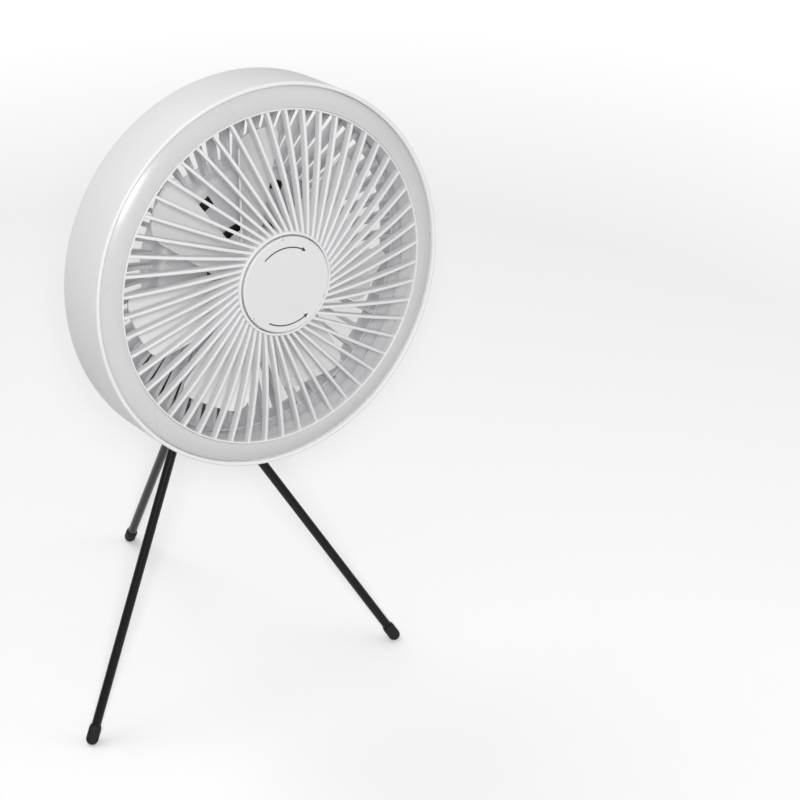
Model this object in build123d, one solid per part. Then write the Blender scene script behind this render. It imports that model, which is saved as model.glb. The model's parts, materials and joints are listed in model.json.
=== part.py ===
from build123d import *
import os
from math import sin, cos, asin, sqrt, radians, degrees

# Portable camping fan: a round fan head with a ring light, on a folding three-legged stand.
# Millimetres and degrees. Head pieces are built in the head's own frame (x to the right as seen
# from the front, y up, z out of the front, zero at the seam round the ring light) and then
# tilted into place. Stand pieces are built about the stand's upright axis, on the ground z = 0.

# Whole object
head_tilt = 7.8            # the face looks up by this much at rest
head_forward = 88.1        # seam centre ahead of the stand's axis
head_rise = 104.3          # seam centre above the point where the leg axes meet

# Clearances
fit = 0.05                 # running fit of shafts, pins and bearings, on the radius
press = 0.025              # fit of a piece that is pressed in, on the radius
fine_gap = 0.1             # air between pieces that meet in view or nearly touch
seat_gap = 0.3             # air between neighbouring mouldings
bury = 0.5                 # a boss, rib or lug starts this far inside the wall that carries it
cut = 1.0                  # how far a cutting tool reaches past a face

# Small self-tapping screws
screw_shank = 1.1
screw_clear = 0.4          # round the shank where it passes through a piece
screw_tip_gap = 0.8        # between the screw's tip and the end of its hole
screw_head_bevel = 0.3     # as a share of the head's height
boss_radius = 3.0
boss_end = 1.0             # closed end of a boss beyond its hole

# Drum: outer wall, rear floor and air duct in one moulding
drum_radius = 105.4
drum_wall = 2.2
drum_depth = 35.0          # rear face behind the seam
drum_corner = 3.0
lip_rise = 2.6             # the rim stands this far in front of the seam
lip_round = 0.45           # as a share of the wall
duct_inset = 15.2          # bore of the air duct, in from the drum's outside
duct_wall = 1.8
duct_front = -2.0          # front end of the duct wall, where the grille sits
floor_thickness = 2.2
rabbet_inset = 5.4         # step in the floor that takes the rear cover, in from the outside
ledge_width = 1.4
ledge_height = 1.6
boss_height = 9.0
drum_screw_count = 6
drum_screw_inset = 9.4     # screw circle, in from the outside
drum_screw_head = 2.6
drum_screw_head_height = 1.6

# Ring light
board_thickness = 1.2
board_front = -7.4
diffuser_wall = 1.6
diffuser_inner_rise = 4.0  # front face at the grille, in front of the seam
diffuser_outer_rise = 0.2
diffuser_bulge = 1.1
diffuser_outer_gap = 0.2
led_count = 48
led_length, led_width, led_height = 3.5, 2.8, 0.8

# Front grille and scent box
grille_ring_width = 2.2
grille_ring_rise = 4.4
grille_ring_round = 0.8
rib_count = 52
rib_width = 1.8
rib_swirl = 15.5           # the inner end lags the outer end by this angle
rib_outer_front = 3.8
rib_outer_depth = 5.4
rib_inner_front = 12.4
rib_inner_depth = 6.2
rib_bulge = 1.6
cup_radius = 29.6
cup_wall = 2.6
cup_front = 13.4
cup_back = 5.0
cup_floor = 1.6
cup_round = 1.0
cup_mouth_round = 0.5
cap_radius = 26.3
cap_front = 14.6
cap_thickness = 2.0
cap_bevel = 0.9
cap_skirt_wall = 1.4
cap_skirt_radius = 25.2
cap_skirt_height = 3.2
cap_notch = 1.5            # width and depth of each finger notch
cap_turn = 40.0            # twist that frees the cap
lug_count = 3
lug_reach = 1.3
lug_height = 1.2
lug_angle = 24.0
lug_spare_angle = 6.0      # the lugs are clear of the ledges this much before the twist ends
pad_radius = 22.5
pad_thickness = 3.0

# Impeller
blade_count = 7
blade_phase = -5.5         # where the first blade stands at rest, from the top
blade_tip_gap = 12.7       # from the tips to the duct's bore
blade_tip_width = 34.8
blade_root_width = 18.0
blade_lag = 5.8            # the root's middle trails the tip's middle by this much
blade_corner = 7.0
blade_tip_pitch = 24.0
blade_root_pitch = 30.0
blade_thickness = 1.6
blade_edge = 0.7           # thickness at the edges, as a share of the middle
blade_camber = 0.09        # rise of the blade's curve, as a share of its chord
blade_middle = -10.0
blade_spare = 4.0          # the curved plate is this much larger than the blade cut from it
blade_stations = 3
hub_radius = 22.6
hub_wall = 1.8
hub_front = 1.6
hub_back = -21.0
hub_corner = 5.0
hub_round = 3.0
sleeve_wall = 0.9          # inner sleeve that grips the motor's rotor
sleeve_length = 8.0
nose_screw_head = 3.0
nose_screw_head_height = 1.6
nose_screw_shank = 0.9
nose_screw_length = 0.8

# Motor
rotor_radius = 18.4
rotor_wall = 1.2
rotor_front = -7.5
rotor_back = -21.0
rotor_round = 1.0
rotor_clear = 1.0          # from the rotor's roof to the end of the bearing tube
magnet_thickness = 1.8
magnet_setback = 1.5
air_gap = 0.45             # between magnets and stator
stator_front = -11.5
stator_back = -20.5
stator_teeth = 9
stator_slot = 2.4
stator_mouth = 1.0
stator_tip = 1.5
stator_core = 7.5
shaft_radius = 1.5
bearing_radius = 4.0
bearing_width = 2.5
bearing_step = 1.0         # below the lower bearing
tube_wall = 1.3
mount_radius = 25.2
mount_thickness = 1.5
motor_screw_circle = 13.0
motor_screw_count = 3
motor_screw_start = 30.0
motor_screw_head = 2.2
motor_screw_head_height = 1.4

# Rear cover with its fins, and the pod that holds battery and controls
pod_radius = 54.0
pod_wall = 2.2
pod_front = -25.0
pod_shoulder = 3.6
pod_depth = 50.0           # back face of the pod behind the seam
pod_corner = 5.0
fin_count = 52
fin_phase = 1.3
fin_width = 2.2
fin_outer_gap = 1.2        # between the fins' ends and the duct's bore
fin_offset = 10.7          # of each fin's middle plane from the axis, which gives them a slight swirl
fin_outer_front = -27.2
fin_inner_front = -27.6
fin_overlap = 1.4          # length of fin that stands on the cover's outer ring
pod_screw_inset = 3.4      # between a pod boss and the pod's inner wall
pod_screw_angles = (18.0, 162.0, 214.0, 326.0)
pod_screw_head = 2.1
pod_screw_head_height = 1.5
pod_screw_recess = 2.0

# Battery, board and controls
cell_radius = 9.2
cell_length = 65.0
cell_count = 3
cell_gap = 0.3
cell_row_low = -28.0       # height of the lowest cell's axis on the pod
cell_floor_gap = 0.6
nub_radius = 2.8
nub_rise = 0.6
tray_wall = 1.0
tray_height = 8.0
tray_length = 45.5
pcb_thickness = 1.5
pcb_back = -42.0
pcb_top_inset = 5.8        # top edge of the board, in from the pod's inner wall
pcb_side_inset = 15.8
pcb_neck_height = 12.0
pcb_neck_half_width = 16.0
board_post_radius = 2.0
board_post_inset = 5.0
button_radius = 6.0
button_spacing = 20.0
button_height = 30.0       # above the pod's centre
button_proud = 0.6
button_round = 0.4
button_flange = 1.0        # reach and thickness of the flange behind the pod's wall
button_travel = 0.6
switch_side = 6.0
switch_height = 1.8
plunger_radius = 1.7
socket_height = 24.0
socket_width, socket_thickness = 9.0, 3.3
socket_shell = 0.3
socket_length = 7.2
socket_end = 1.0
tongue_width, tongue_thickness = 6.6, 0.7
tongue_setback = 2.0
lens_count = 4
lens_spacing = 4.0
lens_radius = 1.0
lens_drop = 5.5            # below the board's top edge

# Hanging bail
post_width = 8.6           # along the pod's rim
post_depth = 5.0           # towards the pod's centre
post_inset = 8.6           # post's centre, in from the pod's outside
post_angle = 28.7          # to each side of the top
post_proud = 0.6           # in front of the pod's front wall
bail_lug_width = 7.0
bail_lug_radius = 3.5
bail_rod = 2.5
bail_off = 4.6             # rod's centre behind the pod's back face
bail_eye = 3.6
bail_eye_width = 5.6
bail_pin_radius = 1.5
bail_reach = 64.0
bail_bend = 14.0

# Tilt hinge and neck
tilt_low = 38.0            # hinge axis below the pod's centre
tilt_off = 10.0            # hinge axis behind the pod's back face
ear_thickness = 4.0
ear_radius = 7.0
ear_foot = 20.0            # height of the ear where it meets the pod
neck_width = 11.4
neck_depth = 12.0
neck_corner = 2.5
neck_eye_radius = 6.8
tilt_bolt_radius = 2.0
bolt_head_radius = 3.6
bolt_head_height = 2.4
nut_height = 3.0
bolt_tail = 0.5
neck_boss_radius = 12.0
neck_boss_height = 8.0
neck_boss_round = 2.0
washer_thickness = 1.0
washer_rim = 0.5           # past the neck's foot

# Stand
apex_height = 192.7        # where the three leg axes meet
leg_spread = 31.8          # of each leg from the upright
leg_length = 226.8         # from the apex to the foot's end
stand_turn = -5.8          # the stand is turned a little against the head
crown_radius = 19.0
crown_head_radius = 30.0   # of the round platform at the top
crown_top = 7.3            # above the apex
crown_bottom = 29.7        # below the apex
crown_foot_inset = 3.0
crown_foot_height = 5.0
crown_foot_round = 3.0
crown_waist = 20.0         # below the top, where the platform begins to spread
crown_waist_round = 9.0
crown_rim = 7.0            # height of the platform's rim
crown_rim_round = 4.0
crown_top_round = 1.5
hinge_circle = 13.0
hinge_pin_radius = 1.5
hinge_pin_length = 26.4
knuckle_radius = 4.6
knuckle_width = 7.2
knuckle_clear = 0.2
shank_length = 11.0
knuckle_rim = 2.0
barrel_radius = 3.6
barrel_length = 7.0
rod_radius = 2.75
rod_bite = 4.0             # how far the rod reaches into the shank
foot_radius = 3.65
foot_length = 12.0
foot_dome = 0.98           # rounding of the foot's end, as a share of its radius
foot_collar = 3.2
foot_taper = 2.0
foot_round = 1.0
swivel_radius = 2.5
swivel_head_radius = 4.5
swivel_head_height = 3.5
swivel_seat = 8.0          # head's seat below the crown's top
swivel_bite = 6.5


# Helpers
def turned(points, rounds=None):
    """Solid turned about z from (radius, z) points; rounds gives corner radii by point number."""
    face = Plane.XZ * Polygon(*points, align=None)
    for index, radius in (rounds or {}).items():
        r, z = points[index]
        corner = face.vertices().sort_by_distance((r, 0, z))[0]
        face = fillet(corner, radius)
    return revolve(face, Axis.Z)


def disc(radius, z_low, z_high, bore=0.0):
    """Round plate or tube between two heights."""
    seat = (Align.CENTER, Align.CENTER, Align.MIN)
    solid = Pos(0, 0, z_low) * Cylinder(radius, z_high - z_low, align=seat)
    if bore > 0:
        solid -= disc(bore, z_low - cut, z_high + cut)
    return solid


def rod_across(radius, length):
    """Round rod along x, centred on the origin."""
    return Rot(0, 90, 0) * Cylinder(radius, length)


def around(circle, count, start=0.0):
    """Places on a circle, each turned to look outwards."""
    return PolarLocations(circle, count, start_angle=start)


def screw(head_radius, head_height, shank_radius, length):
    """Pan-head screw with its head above z = 0 and its shank below."""
    head = disc(head_radius, 0, head_height)
    head = chamfer(head.edges().group_by(Axis.Z)[-1], head_height * screw_head_bevel)
    return head + disc(shank_radius, -length, 0)


# Drum and ring light
drum_bore = drum_radius - drum_wall
drum_screw_circle = drum_radius - drum_screw_inset
rabbet_radius = drum_radius - rabbet_inset
duct_radius = drum_radius - duct_inset
duct_outside = duct_radius + duct_wall
floor_back = -drum_depth + floor_thickness
floor_front = floor_back + floor_thickness
board_back = board_front - board_thickness
drum_hole_end = floor_front + boss_height - boss_end


def make_drum():
    body = turned(
        [
            (drum_radius, -drum_depth),
            (drum_radius, lip_rise),
            (drum_bore, lip_rise),
            (drum_bore, board_back),
            (drum_bore - ledge_width, board_back),
            (drum_bore - ledge_width, board_back - ledge_height),
            (drum_bore, board_back - ledge_height),
            (drum_bore, floor_front),
            (duct_outside, floor_front),
            (duct_outside, board_back - ledge_height),
            (duct_outside + ledge_width, board_back - ledge_height),
            (duct_outside + ledge_width, board_back),
            (duct_outside, board_back),
            (duct_outside, duct_front),
            (duct_radius, duct_front),
            (duct_radius, floor_back),
            (rabbet_radius, floor_back),
            (rabbet_radius, -drum_depth),
        ],
        {0: drum_corner, 1: drum_wall * lip_round, 2: drum_wall * lip_round},
    )
    for place in around(drum_screw_circle, drum_screw_count):
        body += place * disc(boss_radius, floor_front - bury, floor_front + boss_height)
    for place in around(drum_screw_circle, drum_screw_count):
        body -= place * disc(screw_shank + fit, floor_back - cut, drum_hole_end)
    return body


def make_diffuser():
    outer = drum_bore - diffuser_outer_gap
    inner = duct_outside + fine_gap
    outer_in, inner_in = outer - diffuser_wall, inner + diffuser_wall
    middle = (outer + inner) / 2
    rise = (diffuser_outer_rise + diffuser_inner_rise) / 2 + diffuser_bulge
    with BuildPart() as ring:
        with BuildSketch(Plane.XZ):
            with BuildLine():
                ThreePointArc((outer, diffuser_outer_rise), (middle, rise), (inner, diffuser_inner_rise))
                Line((inner, diffuser_inner_rise), (inner, board_front))
                Line((inner, board_front), (inner_in, board_front))
                Line((inner_in, board_front), (inner_in, diffuser_inner_rise - diffuser_wall))
                ThreePointArc(
                    (inner_in, diffuser_inner_rise - diffuser_wall),
                    (middle, rise - diffuser_wall),
                    (outer_in, diffuser_outer_rise - diffuser_wall),
                )
                Line((outer_in, diffuser_outer_rise - diffuser_wall), (outer_in, board_front))
                Line((outer_in, board_front), (outer, board_front))
                Line((outer, board_front), (outer, diffuser_outer_rise))
            make_face()
        revolve(axis=Axis.Z)
    return ring.part


def make_led_board():
    return disc(drum_bore - seat_gap, board_back, board_front, bore=duct_outside + fine_gap)


def make_led_chips():
    chip = Box(led_width, led_length, led_height, align=(Align.CENTER, Align.CENTER, Align.MIN))
    circle = (drum_bore + duct_outside) / 2
    return [place * Pos(0, 0, board_front) * chip for place in around(circle, led_count)]


# Front grille and scent box
grille_outside = duct_outside
grille_inside = grille_outside - grille_ring_width
cup_bore = cup_radius - cup_wall
cap_back = cap_front - cap_thickness
ledge_back = cap_back - cap_skirt_height + lug_height + seat_gap
ledge_front = cap_back - seat_gap
ledge_angle = 2 * (cap_turn - lug_spare_angle) - lug_angle


def make_rib():
    """One straight rib: its arched side outline, given its width."""
    outer, inner = grille_inside + grille_ring_width / 2, cup_radius - cup_wall / 2
    swirl = radians(rib_swirl)
    start = Vector(inner * cos(swirl), -inner * sin(swirl), 0)
    end = Vector(outer, 0, 0)
    run = (end - start).length
    plane = Plane(origin=start, x_dir=end - start, z_dir=(end - start).cross(Vector(0, 0, 1)))
    front_middle = (rib_inner_front + rib_outer_front) / 2 + rib_bulge
    back_inner = rib_inner_front - rib_inner_depth
    back_outer = rib_outer_front - rib_outer_depth
    back_middle = (back_inner + back_outer) / 2 + rib_bulge
    with BuildPart() as rib:
        with BuildSketch(plane):
            with BuildLine():
                ThreePointArc((0, rib_inner_front), (run / 2, front_middle), (run, rib_outer_front))
                Line((run, rib_outer_front), (run, back_outer))
                ThreePointArc((run, back_outer), (run / 2, back_middle), (0, back_inner))
                Line((0, back_inner), (0, rib_inner_front))
            make_face()
        extrude(amount=rib_width / 2, both=True)
    return rib.part


def sector(radius, z_low, z_high, angle, turn):
    """Wedge of a round plate, angle wide, centred on turn."""
    wedge = Sketch() + Plane.XY * make_face(
        [
            Line((0, 0), (radius, 0)),
            CenterArc((0, 0), radius, 0, angle),
            Line((radius * cos(radians(angle)), radius * sin(radians(angle))), (0, 0)),
        ]
    )
    return Pos(0, 0, z_low) * Rot(0, 0, turn - angle / 2) * extrude(wedge, z_high - z_low)


def make_grille():
    ring = turned(
        [
            (grille_inside, duct_front),
            (grille_outside, duct_front),
            (grille_outside, grille_ring_rise),
            (grille_inside, grille_ring_rise),
        ],
        {2: grille_ring_round, 3: grille_ring_round},
    )
    cup = turned(
        [
            (0, cup_back),
            (cup_radius, cup_back),
            (cup_radius, cup_front),
            (cup_bore, cup_front),
            (cup_bore, cup_back + cup_floor),
            (0, cup_back + cup_floor),
        ],
        {1: cup_round, 2: cup_round, 3: cup_mouth_round},
    )
    ledge_ring = disc(cup_bore + bury, ledge_back, ledge_front, bore=cap_skirt_radius + seat_gap)
    for i in range(lug_count):
        wedge = sector(cup_radius, ledge_back - cut, ledge_front + cut, ledge_angle, i * 360 / lug_count)
        cup += ledge_ring & wedge
    rib = make_rib()
    ribs = [Rot(0, 0, i * 360 / rib_count) * rib for i in range(rib_count)]
    body = ring.fuse(cup, *ribs)
    body -= disc(cup_bore, cup_back + cup_floor, ledge_back)
    body -= disc(cap_skirt_radius + seat_gap, cup_back + cup_floor, cap_front + cut)
    body -= disc(cup_bore, ledge_front, cap_front + cut)
    return body


def make_cap():
    lid = disc(cap_radius, cap_back, cap_front)
    lid = fillet(lid.edges().group_by(Axis.Z)[-1], cap_bevel)
    skirt_back = cap_back - cap_skirt_height
    skirt_inside = cap_skirt_radius - cap_skirt_wall
    lid += disc(cap_skirt_radius, skirt_back, cap_back, bore=skirt_inside)
    lug_ring = disc(cap_skirt_radius + lug_reach, skirt_back, skirt_back + lug_height, bore=skirt_inside)
    notch = Pos(cap_radius, 0, cap_front) * Box(2 * cap_notch, cap_notch, 2 * cap_notch)
    for i in range(lug_count):
        turn = i * 360 / lug_count
        lid += lug_ring & sector(cap_radius + cut, skirt_back - cut, cap_back, lug_angle, turn)
        lid -= Rot(0, 0, 90 + turn) * notch
    return lid


def make_pad():
    back = cup_back + cup_floor
    return disc(pad_radius, back, back + pad_thickness)


# Impeller and motor
blade_tip_radius = duct_radius - blade_tip_gap
tube_radius = bearing_radius + fit + tube_wall
tube_front = rotor_front - rotor_wall - rotor_clear
mount_front = pod_front + mount_thickness
magnet_outside = rotor_radius - rotor_wall - fit
stator_radius = magnet_outside - magnet_thickness - air_gap


def blade_section(radius):
    """Curved plate section of the blade, square to the radius, trailing more towards the root."""
    share = (radius - hub_radius) / (blade_tip_radius - hub_radius)
    pitch = blade_root_pitch + (blade_tip_pitch - blade_root_pitch) * share
    width = blade_root_width + (blade_tip_width - blade_root_width) * share + blade_spare
    middle = (-blade_lag * (1 - share), radius, blade_middle)
    chord = width / cos(radians(pitch))
    rise = blade_camber * chord
    half = blade_thickness / 2
    edge = half * blade_edge
    plane = Plane(origin=middle, x_dir=(1, 0, 0), z_dir=(0, 1, 0)).rotated((0, 0, pitch))
    with BuildSketch(plane) as section:
        with BuildLine():
            ThreePointArc((-chord / 2, edge), (0, rise + half), (chord / 2, edge))
            Line((chord / 2, edge), (chord / 2, -edge))
            ThreePointArc((chord / 2, -edge), (0, rise - half), (-chord / 2, -edge))
            Line((-chord / 2, -edge), (-chord / 2, edge))
        make_face()
    return section.sketch


def make_blade():
    """The plate is trimmed to the blade's outline, whose root lies inside the hub's wall."""
    low, high = hub_radius - blade_spare, blade_tip_radius + blade_spare
    step = (high - low) / blade_stations
    plate = loft([blade_section(low + i * step) for i in range(blade_stations + 1)])
    seat = hub_radius - hub_wall / 2
    root_from = degrees(asin((blade_root_width / 2 - blade_lag) / seat))
    root_to = degrees(asin((-blade_root_width / 2 - blade_lag) / seat))
    tip_half = degrees(asin(blade_tip_width / 2 / blade_tip_radius))
    with BuildSketch() as outline:
        with BuildLine():
            root = CenterArc((0, 0), seat, 90 - root_from, root_from - root_to)
            tip = CenterArc((0, 0), blade_tip_radius, 90 - tip_half, 2 * tip_half)
            Line(root @ 0, tip @ 0)
            Line(tip @ 1, root @ 1)
        make_face()
        fillet(outline.vertices().group_by(Axis.Y)[-1], blade_corner)
    depth = hub_front - hub_back + 2 * cut
    return plate & (Pos(0, 0, hub_back - cut) * extrude(outline.sketch, depth))


def make_impeller():
    sleeve_bore = rotor_radius + fit
    roof = rotor_front + fit
    hub = turned(
        [
            (shaft_radius + fit, hub_front),
            (hub_radius - hub_corner, hub_front),
            (hub_radius, hub_front - hub_corner),
            (hub_radius, hub_back),
            (hub_radius - hub_wall, hub_back),
            (hub_radius - hub_wall, roof + hub_wall),
            (sleeve_bore + sleeve_wall, roof + hub_wall),
            (sleeve_bore + sleeve_wall, roof - sleeve_length),
            (sleeve_bore, roof - sleeve_length),
            (sleeve_bore, roof),
            (shaft_radius + fit, roof),
        ],
        {1: hub_round, 2: hub_round},
    )
    blade = make_blade()
    turns = [blade_phase + i * 360 / blade_count for i in range(blade_count)]
    return hub.fuse(*[Rot(0, 0, turn) * blade for turn in turns])


def make_impeller_screw():
    piece = screw(nose_screw_head, nose_screw_head_height, nose_screw_shank, nose_screw_length)
    return Pos(0, 0, hub_front) * piece


def make_shaft():
    return disc(shaft_radius, mount_front, hub_front - nose_screw_length - fine_gap)


def make_rotor():
    cup = turned(
        [
            (shaft_radius + fit, rotor_front),
            (rotor_radius, rotor_front),
            (rotor_radius, rotor_back),
            (rotor_radius - rotor_wall, rotor_back),
            (rotor_radius - rotor_wall, rotor_front - rotor_wall),
            (shaft_radius + fit, rotor_front - rotor_wall),
        ],
        {1: rotor_round},
    )
    return cup


def make_magnets():
    front = rotor_front - rotor_wall - magnet_setback
    return disc(magnet_outside, rotor_back, front, bore=magnet_outside - magnet_thickness)


def make_stator():
    body = disc(stator_radius, stator_back, stator_front, bore=tube_radius + fine_gap)
    through = stator_front - stator_back + 2 * cut
    middle = (stator_back + stator_front) / 2
    long = stator_radius - stator_tip - stator_core
    slot = Box(long, stator_slot, through, align=(Align.MIN, Align.CENTER, Align.CENTER))
    mouth = Box(2 * (stator_tip + bury), stator_mouth, through)
    for place in around(0, stator_teeth):
        body -= place * Pos(stator_core, 0, middle) * slot
        body -= place * Pos(stator_radius, 0, middle) * mouth
    return body


def make_motor_mount():
    body = disc(mount_radius, pod_front, mount_front)
    body += disc(tube_radius, pod_front, tube_front)
    body -= disc(bearing_radius + fit, mount_front, tube_front + cut)
    for place in around(motor_screw_circle, motor_screw_count, motor_screw_start):
        body -= place * disc(screw_shank + fit, pod_front - cut, mount_front + cut)
    return body


def make_bearings():
    race = disc(bearing_radius, 0, bearing_width, bore=shaft_radius + fit)
    return [Pos(0, 0, mount_front + bearing_step) * race, Pos(0, 0, tube_front - bearing_width) * race]


def make_motor_screws():
    piece = screw(motor_screw_head, motor_screw_head_height, screw_shank, mount_thickness + pod_wall)
    places = around(motor_screw_circle, motor_screw_count, motor_screw_start)
    return [place * Pos(0, 0, mount_front) * piece for place in places]


# Rear cover and pod
pod_bore = pod_radius - pod_wall
pod_back = -pod_depth
pod_floor = pod_back + pod_wall
pod_roof = pod_front - pod_wall
pod_screw_circle = pod_bore - pod_screw_inset - boss_radius
pod_hole_end = pod_roof - boss_end
fin_outer = duct_radius - fin_outer_gap
post_turns = (-post_angle, post_angle)


def make_fin():
    """One upright fin: its side outline, given its width. It starts inside the pod's wall."""
    inner = sqrt((pod_radius - pod_wall / 2) ** 2 - fin_offset**2)
    outer = sqrt(fin_outer**2 - fin_offset**2)
    with BuildPart() as fin:
        with BuildSketch(Plane.XZ.offset(fin_offset)):
            Polygon(
                (inner, -drum_depth),
                (outer, -drum_depth),
                (outer, fin_outer_front),
                (inner, fin_inner_front),
                align=None,
            )
        extrude(amount=fin_width / 2, both=True)
    return fin.part


def post_windows(middle):
    """The two openings that let the bail's posts through a wall whose middle is at this depth."""
    window = Box(post_width + 2 * seat_gap, post_depth + 2 * seat_gap, pod_wall + 2 * cut)
    return [Rot(0, 0, turn) * Pos(0, pod_radius - post_inset, middle) * window for turn in post_turns]


def make_rear_cover():
    dome = turned(
        [
            (0, pod_front),
            (pod_radius, pod_front),
            (pod_radius, -drum_depth),
            (pod_bore, -drum_depth),
            (pod_bore, pod_roof),
            (0, pod_roof),
        ],
        {1: pod_shoulder, 4: pod_shoulder - pod_wall / 2},
    )
    ring = disc(rabbet_radius - seat_gap, -drum_depth, floor_back, bore=fin_outer - fin_overlap)
    fin = make_fin()
    fins = [Rot(0, 0, fin_phase + i * 360 / fin_count) * fin for i in range(fin_count)]
    body = dome.fuse(ring, *fins)
    hole = disc(screw_shank + screw_clear, -drum_depth - cut, floor_back + cut)
    body -= [place * hole for place in around(drum_screw_circle, drum_screw_count)]
    body -= post_windows(pod_front - pod_wall / 2)
    pilot = disc(screw_shank + fit, pod_roof - cut, pod_front + cut)
    body -= [place * pilot for place in around(motor_screw_circle, motor_screw_count, motor_screw_start)]
    for angle in pod_screw_angles:
        place = Rot(0, 0, angle) * Pos(pod_screw_circle, 0, 0)
        body += place * disc(boss_radius, -drum_depth, pod_roof + bury)
        body -= place * disc(screw_shank + fit, -drum_depth - cut, pod_hole_end)
    return body


def make_pod_cover():
    body = turned(
        [
            (0, pod_back),
            (pod_radius, pod_back),
            (pod_radius, -drum_depth),
            (pod_bore, -drum_depth),
            (pod_bore, pod_floor),
            (0, pod_floor),
        ],
        {1: pod_corner, 4: pod_corner - pod_wall},
    )
    for side in (-1, 1):
        with BuildSketch(Plane.YZ) as ear:
            with Locations((-tilt_low, pod_back - tilt_off)):
                Circle(ear_radius)
            with Locations((-tilt_low, pod_back + pod_wall / 2)):
                Rectangle(ear_foot, pod_wall / 2)
            make_hull()
        middle = side * (neck_width / 2 + seat_gap + ear_thickness / 2)
        body += Pos(middle, 0, 0) * extrude(ear.sketch, ear_thickness / 2, both=True)
        press_hole = disc(button_radius + seat_gap, pod_back - cut, pod_floor + cut)
        body -= Pos(side * button_spacing / 2, button_height, 0) * press_hole
    body -= Pos(0, -tilt_low, pod_back - tilt_off) * rod_across(tilt_bolt_radius + fit, 4 * neck_width)
    body -= post_windows(pod_back + pod_wall / 2)
    window = SlotOverall(socket_width + 2 * seat_gap, socket_thickness + 2 * seat_gap)
    body -= Pos(0, socket_height, pod_back - cut) * extrude(window, pod_wall + 2 * cut)
    for place in lens_places():
        body -= place * disc(lens_radius + fit, pod_back - cut, pod_floor + cut)
    for angle in pod_screw_angles:
        place = Rot(0, 0, angle) * Pos(pod_screw_circle, 0, 0)
        body += place * disc(boss_radius, pod_floor - bury, -drum_depth)
        body -= place * disc(screw_shank + screw_clear, pod_back - cut, -drum_depth + cut)
        body -= place * disc(pod_screw_head + seat_gap, pod_back - cut, pod_back + pod_screw_recess)
    return body


def make_drum_screws():
    length = drum_hole_end + drum_depth - screw_tip_gap
    piece = Rot(180, 0, 0) * screw(drum_screw_head, drum_screw_head_height, screw_shank, length)
    places = around(drum_screw_circle, drum_screw_count)
    return [place * Pos(0, 0, -drum_depth) * piece for place in places]


def make_pod_screws():
    seat = pod_back + pod_screw_recess
    length = pod_hole_end - seat - screw_tip_gap
    piece = Rot(180, 0, 0) * screw(pod_screw_head, pod_screw_head_height, screw_shank, length)
    return [Rot(0, 0, angle) * Pos(pod_screw_circle, 0, seat) * piece for angle in pod_screw_angles]


# Battery, board and controls
cell_pitch = 2 * cell_radius + cell_gap
cell_middle = pod_floor + cell_floor_gap + cell_radius
cell_rows = [cell_row_low + i * cell_pitch for i in range(cell_count)]
tray_low = cell_rows[0] - cell_radius - tray_wall
tray_high = cell_rows[-1] + cell_radius + tray_wall
pcb_top = pod_bore - pcb_top_inset
pcb_step = pcb_top - pcb_neck_height
pcb_half_width = pod_bore - pcb_side_inset
lens_height = pcb_top - lens_drop
flange_back = pod_floor + fine_gap


def make_cells():
    body = rod_across(cell_radius, cell_length)
    cells = []
    for i, row in enumerate(cell_rows):
        end = cell_length / 2 * (1 if i % 2 == 0 else -1)
        nub = Pos(end, 0, 0) * rod_across(nub_radius, 2 * nub_rise)
        cells.append(Pos(0, row, cell_middle) * (body + nub))
    return cells


def make_tray():
    seat = (Align.CENTER, Align.CENTER, Align.MAX)
    block = Box(tray_length, tray_high - tray_low, tray_height, align=seat)
    block = Pos(0, (tray_low + tray_high) / 2, pod_roof) * block
    for row in cell_rows:
        block -= Pos(0, row, cell_middle) * rod_across(cell_radius + fit, cell_length)
    return block


def make_pcb():
    with BuildPart() as board:
        with BuildSketch(Plane.XY.offset(pcb_back)):
            with Locations((0, (tray_high + pcb_step) / 2)):
                Rectangle(2 * pcb_half_width, pcb_step - tray_high)
            with Locations((0, (tray_high + pcb_top) / 2)):
                Rectangle(2 * pcb_neck_half_width, pcb_top - tray_high)
        extrude(amount=pcb_thickness)
    return board.part


def make_pcb_posts():
    post = disc(board_post_radius, pcb_back + pcb_thickness, pod_roof)
    across, height = pcb_half_width - board_post_inset, (tray_high + pcb_step) / 2
    return [Pos(side * across, height, 0) * post for side in (-1, 1)]


def make_button():
    body = disc(button_radius, pod_back - button_proud, flange_back)
    body = fillet(body.edges().group_by(Axis.Z)[0], button_round)
    return body + disc(button_radius + button_flange, flange_back, flange_back + button_flange)


def make_switches():
    body = Box(switch_side, switch_side, switch_height, align=(Align.CENTER, Align.CENTER, Align.MAX))
    plunger_tip = flange_back + button_flange + button_travel + fine_gap
    piece = Pos(0, 0, pcb_back) * body + disc(plunger_radius, plunger_tip, pcb_back)
    return [Pos(side * button_spacing / 2, button_height, 0) * piece for side in (-1, 1)]


def make_socket():
    shell = SlotOverall(socket_width, socket_thickness)
    bore = SlotOverall(socket_width - 2 * socket_shell, socket_thickness - 2 * socket_shell)
    body = extrude(shell, socket_length)
    body -= Pos(0, 0, -cut) * extrude(bore, socket_length - socket_end + cut)
    seat = (Align.CENTER, Align.CENTER, Align.MAX)
    tongue = Box(tongue_width, tongue_thickness, socket_length - tongue_setback, align=seat)
    body += Pos(0, 0, socket_length) * tongue
    return Pos(0, socket_height, pcb_back - socket_length) * body


def lens_places():
    return [Pos((i - (lens_count - 1) / 2) * lens_spacing, lens_height, 0) for i in range(lens_count)]


def make_lenses():
    return [place * disc(lens_radius, pod_back, pcb_back) for place in lens_places()]


# Hanging bail
bail_axis_z = pod_back - bail_off
bail_lug_x = (pod_radius - post_inset) * sin(radians(post_angle))
bail_height = (pod_radius - post_inset) * cos(radians(post_angle))
bail_half = bail_lug_x + bail_lug_width / 2 + seat_gap + bail_eye_width / 2


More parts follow.
